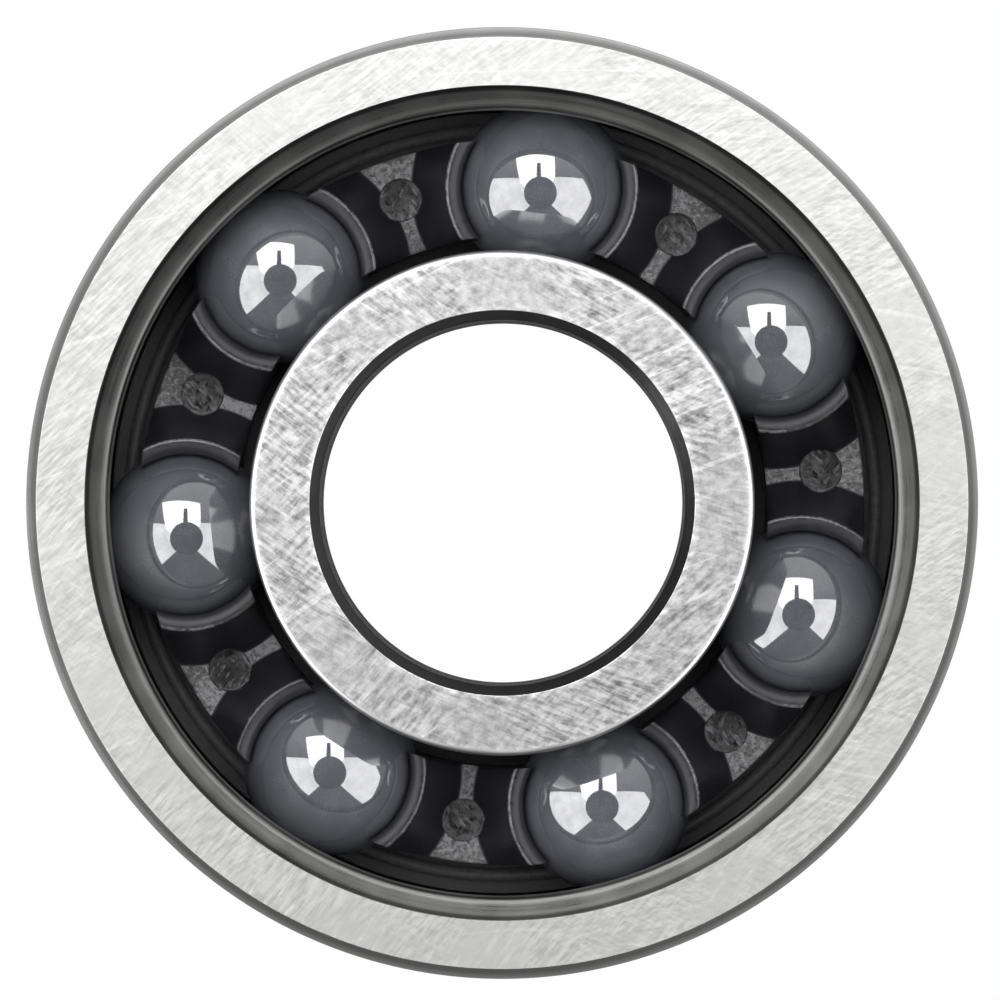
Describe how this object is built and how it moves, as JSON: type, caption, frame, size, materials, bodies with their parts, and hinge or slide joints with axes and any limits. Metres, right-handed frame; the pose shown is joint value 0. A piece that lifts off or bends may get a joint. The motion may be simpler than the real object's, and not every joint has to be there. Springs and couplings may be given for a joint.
{
  "type": "ball bearing",
  "caption": "Deep-groove ball bearing: ground steel rings, dark ceramic balls in a snap-in plastic cage, open on one side, rubber seal on the other.",
  "frame": {"origin": "centre of the bearing: on the bore axis, halfway between the two side faces", "axes": "+Z along the bore axis towards the open side, where the balls and cage show; -Z is the sealed side; +X and +Y are across the bearing"},
  "size_m": [0.026, 0.026, 0.008],
  "materials": {
    "outer_ring_steel": "ground",
    "inner_ring_steel": "ground",
    "cage_plastic": "satin moulded",
    "ball_ceramic": "polished",
    "seal_rubber": "moulded",
    "seal_steel": "rolled sheet"
  },
  "bodies": {
    "outer": {"outer_ring": "outer_ring_steel", "seal_rubber": "seal_rubber", "seal_insert": "seal_steel"},
    "inner": {"inner_ring": "inner_ring_steel"},
    "cage": {"cage": "cage_plastic"},
    "ball_1": {"ball_1": "ball_ceramic"},
    "ball_2": {"ball_2": "ball_ceramic"},
    "ball_3": {"ball_3": "ball_ceramic"},
    "ball_4": {"ball_4": "ball_ceramic"},
    "ball_5": {"ball_5": "ball_ceramic"},
    "ball_6": {"ball_6": "ball_ceramic"},
    "ball_7": {"ball_7": "ball_ceramic"}
  },
  "joints": [
    {"name": "inner_ring_spin", "type": "hinge", "parent": "outer", "child": "inner", "pos_m": [0, 0, 0], "axis": [0, 0, 1], "continuous": true},
    {"name": "cage_spin", "type": "hinge", "parent": "outer", "child": "cage", "pos_m": [0, 0, 0], "axis": [0, 0, 1], "continuous": true},
    {"name": "ball_1_spin", "type": "hinge", "parent": "cage", "child": "ball_1", "pos_m": [0.00108, 0.00868, 0], "axis": [0, 0, 1], "continuous": true},
    {"name": "ball_2_spin", "type": "hinge", "parent": "cage", "child": "ball_2", "pos_m": [-0.00611, 0.00626, 0], "axis": [0, 0, 1], "continuous": true},
    {"name": "ball_3_spin", "type": "hinge", "parent": "cage", "child": "ball_3", "pos_m": [-0.00871, -0.00088, 0], "axis": [0, 0, 1], "continuous": true},
    {"name": "ball_4_spin", "type": "hinge", "parent": "cage", "child": "ball_4", "pos_m": [-0.00474, -0.00735, 0], "axis": [0, 0, 1], "continuous": true},
    {"name": "ball_5_spin", "type": "hinge", "parent": "cage", "child": "ball_5", "pos_m": [0.00279, -0.00829, 0], "axis": [0, 0, 1], "continuous": true},
    {"name": "ball_6_spin", "type": "hinge", "parent": "cage", "child": "ball_6", "pos_m": [0.00822, -0.00299, 0], "axis": [0, 0, 1], "continuous": true},
    {"name": "ball_7_spin", "type": "hinge", "parent": "cage", "child": "ball_7", "pos_m": [0.00746, 0.00457, 0], "axis": [0, 0, 1], "continuous": true}
  ],
  "couplings": [
    {"joint": "cage_spin", "follows": "inner_ring_spin", "ratio": 0.36393},
    {"joint": "ball_1_spin", "follows": "inner_ring_spin", "ratio": -1.7012},
    {"joint": "ball_2_spin", "follows": "inner_ring_spin", "ratio": -1.7012},
    {"joint": "ball_3_spin", "follows": "inner_ring_spin", "ratio": -1.7012},
    {"joint": "ball_4_spin", "follows": "inner_ring_spin", "ratio": -1.7012},
    {"joint": "ball_5_spin", "follows": "inner_ring_spin", "ratio": -1.7012},
    {"joint": "ball_6_spin", "follows": "inner_ring_spin", "ratio": -1.7012},
    {"joint": "ball_7_spin", "follows": "inner_ring_spin", "ratio": -1.7012}
  ]
}
